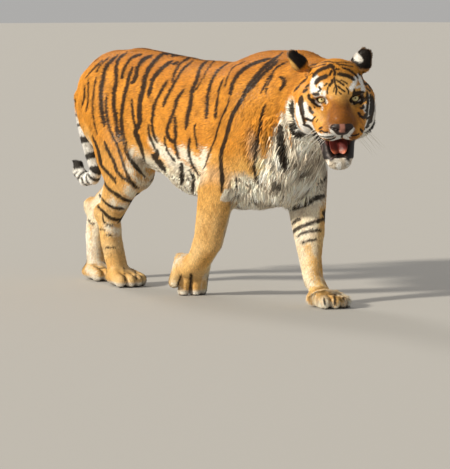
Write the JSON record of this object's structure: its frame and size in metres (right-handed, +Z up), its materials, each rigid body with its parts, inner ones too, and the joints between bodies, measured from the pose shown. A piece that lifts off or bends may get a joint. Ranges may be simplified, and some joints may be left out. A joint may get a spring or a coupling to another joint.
{
  "type": "tiger, life-size still animal model",
  "caption": "Life-size still model of a striped tiger walking with its head turned to its right, its mouth open and its tail hanging in a curl.",
  "frame": {"origin": "on the floor under the middle of the animal's overall box", "axes": "+X the way the animal walks, along its body; +Y to its left; +Z up"},
  "size_m": [1.695, 0.444, 0.8893],
  "materials": {
    "coat_orange": "short dense orange fur with black stripes",
    "coat_pale": "longer soft cream-white fur",
    "coat_dark": "short black fur",
    "eye": "wet, glossy amber",
    "nose_skin": "bare pinkish skin, finely grained and slightly moist",
    "tongue": "moist pink, covered in small rough points"
  },
  "bodies": {
    "root": {"foreleg_right_upper": "coat_orange", "foreleg_right_forearm": "coat_orange", "foreleg_right_paw": "coat_orange", "hindleg_right_thigh": "coat_orange", "hindleg_right_shank": "coat_orange", "hindleg_right_paw": "coat_orange", "foreleg_left_upper": "coat_orange", "foreleg_left_forearm": "coat_pale", "foreleg_left_paw": "coat_orange", "hindleg_left_thigh": "coat_orange", "hindleg_left_shank": "coat_pale", "hindleg_left_paw": "coat_orange", "hindquarters": "coat_orange", "loins": "coat_orange", "chest": "coat_orange", "neck": "coat_orange", "tail_root": "coat_orange", "head": "coat_orange", "face": "coat_orange", "tail_middle": "coat_pale", "lower_jaw": "coat_pale", "tail_tip": "coat_dark", "ear_left": "coat_dark", "ear_right": "coat_dark", "eye_left": "eye", "eye_right": "eye", "nose": "nose_skin", "tongue": "tongue"}
  },
  "joints": []
}
